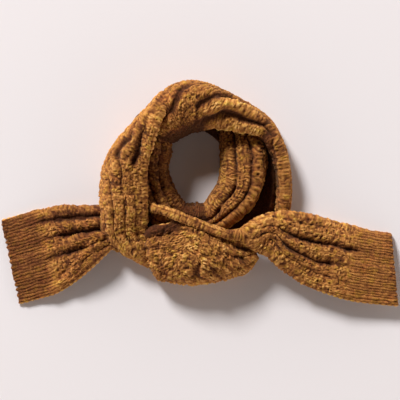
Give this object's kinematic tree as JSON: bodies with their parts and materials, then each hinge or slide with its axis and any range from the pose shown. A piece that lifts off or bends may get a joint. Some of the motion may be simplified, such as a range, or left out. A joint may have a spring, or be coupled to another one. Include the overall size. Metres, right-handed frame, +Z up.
{
  "type": "knit scarf",
  "caption": "Chunky ribbed knit scarf wound into a loose coil on a flat surface, its two fine-ribbed ends lying out to either side.",
  "frame": {"origin": "middle of the scarf's floor box, on the surface that it lies on", "axes": "+X from the left end to the right end, +Y away from the front of the coil, +Z up from the surface"},
  "size_m": [0.711, 0.4036, 0.103],
  "materials": {
    "yarn": "matte golden brown wool, slightly heathered and fluffy"
  },
  "bodies": {
    "root": {"left_cuff": "yarn", "left_tail": "yarn", "outer_turn": "yarn", "inner_left": "yarn", "inner_right": "yarn", "left_strand": "yarn", "front_wrap": "yarn", "right_tail": "yarn", "right_cuff": "yarn", "hidden_layers": "yarn"}
  },
  "joints": []
}
